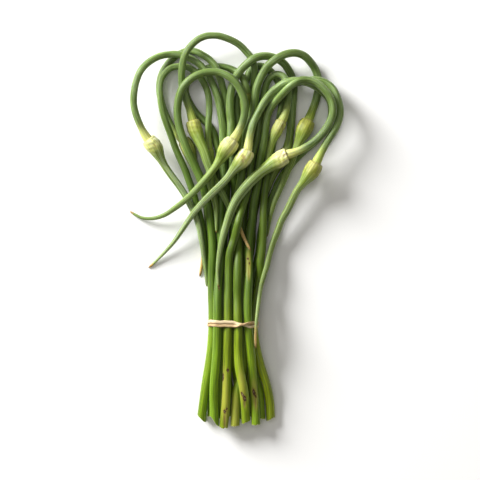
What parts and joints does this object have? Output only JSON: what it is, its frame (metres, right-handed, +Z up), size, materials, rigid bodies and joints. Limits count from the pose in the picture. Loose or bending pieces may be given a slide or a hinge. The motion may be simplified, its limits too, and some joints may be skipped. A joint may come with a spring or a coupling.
{
  "type": "garlic scape bunch",
  "caption": "Bunch of fresh garlic scapes with curled tops, flower bulbs and long beaks, tied with a flat band near the cut ends and lying on its side.",
  "frame": {"origin": "bottom centre of the bounding box, on the surface that the bunch lies on", "axes": "+Z up, away from that surface; +Y from the cut ends towards the curled tops, the longest extent; +X to the right, seen from above"},
  "size_m": [0.1712, 0.3166, 0.0295],
  "materials": {
    "scape_skin": "satin, faintly waxy green skin with fine lengthwise lines, paler at the bulbs",
    "tie": "matt, pale tan flat band"
  },
  "bodies": {
    "root": {"scape_left_front": "scape_skin", "scape_left_outer": "scape_skin", "scape_left_inner": "scape_skin", "scape_top_left": "scape_skin", "scape_left_back": "scape_skin", "scape_small_back": "scape_skin", "scape_middle_tall": "scape_skin", "scape_middle_small": "scape_skin", "scape_middle_back": "scape_skin", "scape_top_right": "scape_skin", "scape_middle_front": "scape_skin", "scape_right_front": "scape_skin", "scape_right_outer": "scape_skin", "tie_band": "tie"}
  },
  "joints": []
}
